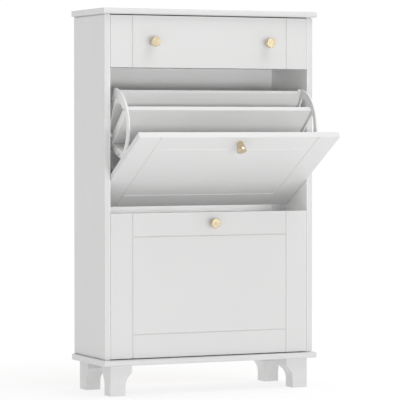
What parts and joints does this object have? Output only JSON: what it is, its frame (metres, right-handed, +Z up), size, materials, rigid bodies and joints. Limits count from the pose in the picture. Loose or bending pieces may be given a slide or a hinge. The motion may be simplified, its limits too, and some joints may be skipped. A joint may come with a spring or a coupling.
{
  "type": "shoe cabinet",
  "caption": "Slim white shoe cabinet on bracket feet with a drawer above tilting shoe compartments, grooved fronts and turned brass knobs; the upper compartment stands open.",
  "frame": {"origin": "on the floor, at the middle of the width and of the depth that the cabinet takes up with its upper compartment open", "axes": "+Z up, +X to the right seen from the front, -Y is the front where the doors open"},
  "size_m": [0.6, 0.403, 0.9825],
  "materials": {
    "white_lacquer": "satin white lacquer on board",
    "white_board": "matt white melamine on chipboard",
    "bracket_plastic": "fine-grained moulded white plastic",
    "steel": "zinc-plated steel",
    "knob_brass": "polished gold",
    "beech": "bare beech"
  },
  "bodies": {
    "carcass": {"side_panel_left": "white_lacquer", "side_panel_right": "white_lacquer", "top_board": "white_lacquer", "base_board": "white_lacquer", "back_panel": "white_board", "drawer_shelf": "white_board", "middle_shelf": "white_board", "foot_front_left": "white_lacquer", "foot_front_right": "white_lacquer", "foot_back_left": "white_lacquer", "foot_back_right": "white_lacquer", "foot_screws": "steel", "base_screws": "steel", "cam_bolts": "steel", "cam_locks": "steel", "back_nails": "steel", "wall_brackets": "steel", "wall_bracket_screws": "steel", "runner_left": "steel", "runner_right": "steel", "runner_screws": "steel", "upper_pivot_pins": "steel", "lower_pivot_pins": "steel", "upper_stop_pins": "steel", "lower_stop_pins": "steel"},
    "drawer": {"drawer_front": "white_lacquer", "drawer_side_left": "white_board", "drawer_side_right": "white_board", "drawer_back": "white_board", "drawer_bottom": "white_board", "drawer_slide_left": "steel", "drawer_slide_right": "steel", "slide_screws": "steel", "drawer_dowels": "beech", "drawer_screws": "steel", "drawer_knob_left": "knob_brass", "drawer_knob_right": "knob_brass", "drawer_knob_screws": "steel"},
    "upper_flip": {"upper_door": "white_lacquer", "upper_knob": "knob_brass", "upper_knob_screw": "steel", "upper_bracket_left": "bracket_plastic", "upper_bracket_right": "bracket_plastic", "upper_divider": "white_board", "upper_back_board": "white_board", "upper_base_board": "white_board", "upper_bracket_screws": "steel"},
    "lower_flip": {"lower_door": "white_lacquer", "lower_knob": "knob_brass", "lower_knob_screw": "steel", "lower_bracket_left": "bracket_plastic", "lower_bracket_right": "bracket_plastic", "lower_divider": "white_board", "lower_back_board": "white_board", "lower_base_board": "white_board", "lower_bracket_screws": "steel"}
  },
  "joints": [
    {"name": "drawer_slide", "type": "slide", "parent": "carcass", "child": "drawer", "axis": [0, -1, 0], "range_m": [0, 0.14]},
    {"name": "upper_flip_hinge", "type": "hinge", "parent": "carcass", "child": "upper_flip", "pos_m": [0, 0.04507, 0.579], "axis": [1, 0, 0], "range_deg": [-59.5, 0]},
    {"name": "lower_flip_hinge", "type": "hinge", "parent": "carcass", "child": "lower_flip", "pos_m": [0, 0.00707, 0.198], "axis": [1, 0, 0], "range_deg": [0, 59.5]}
  ]
}
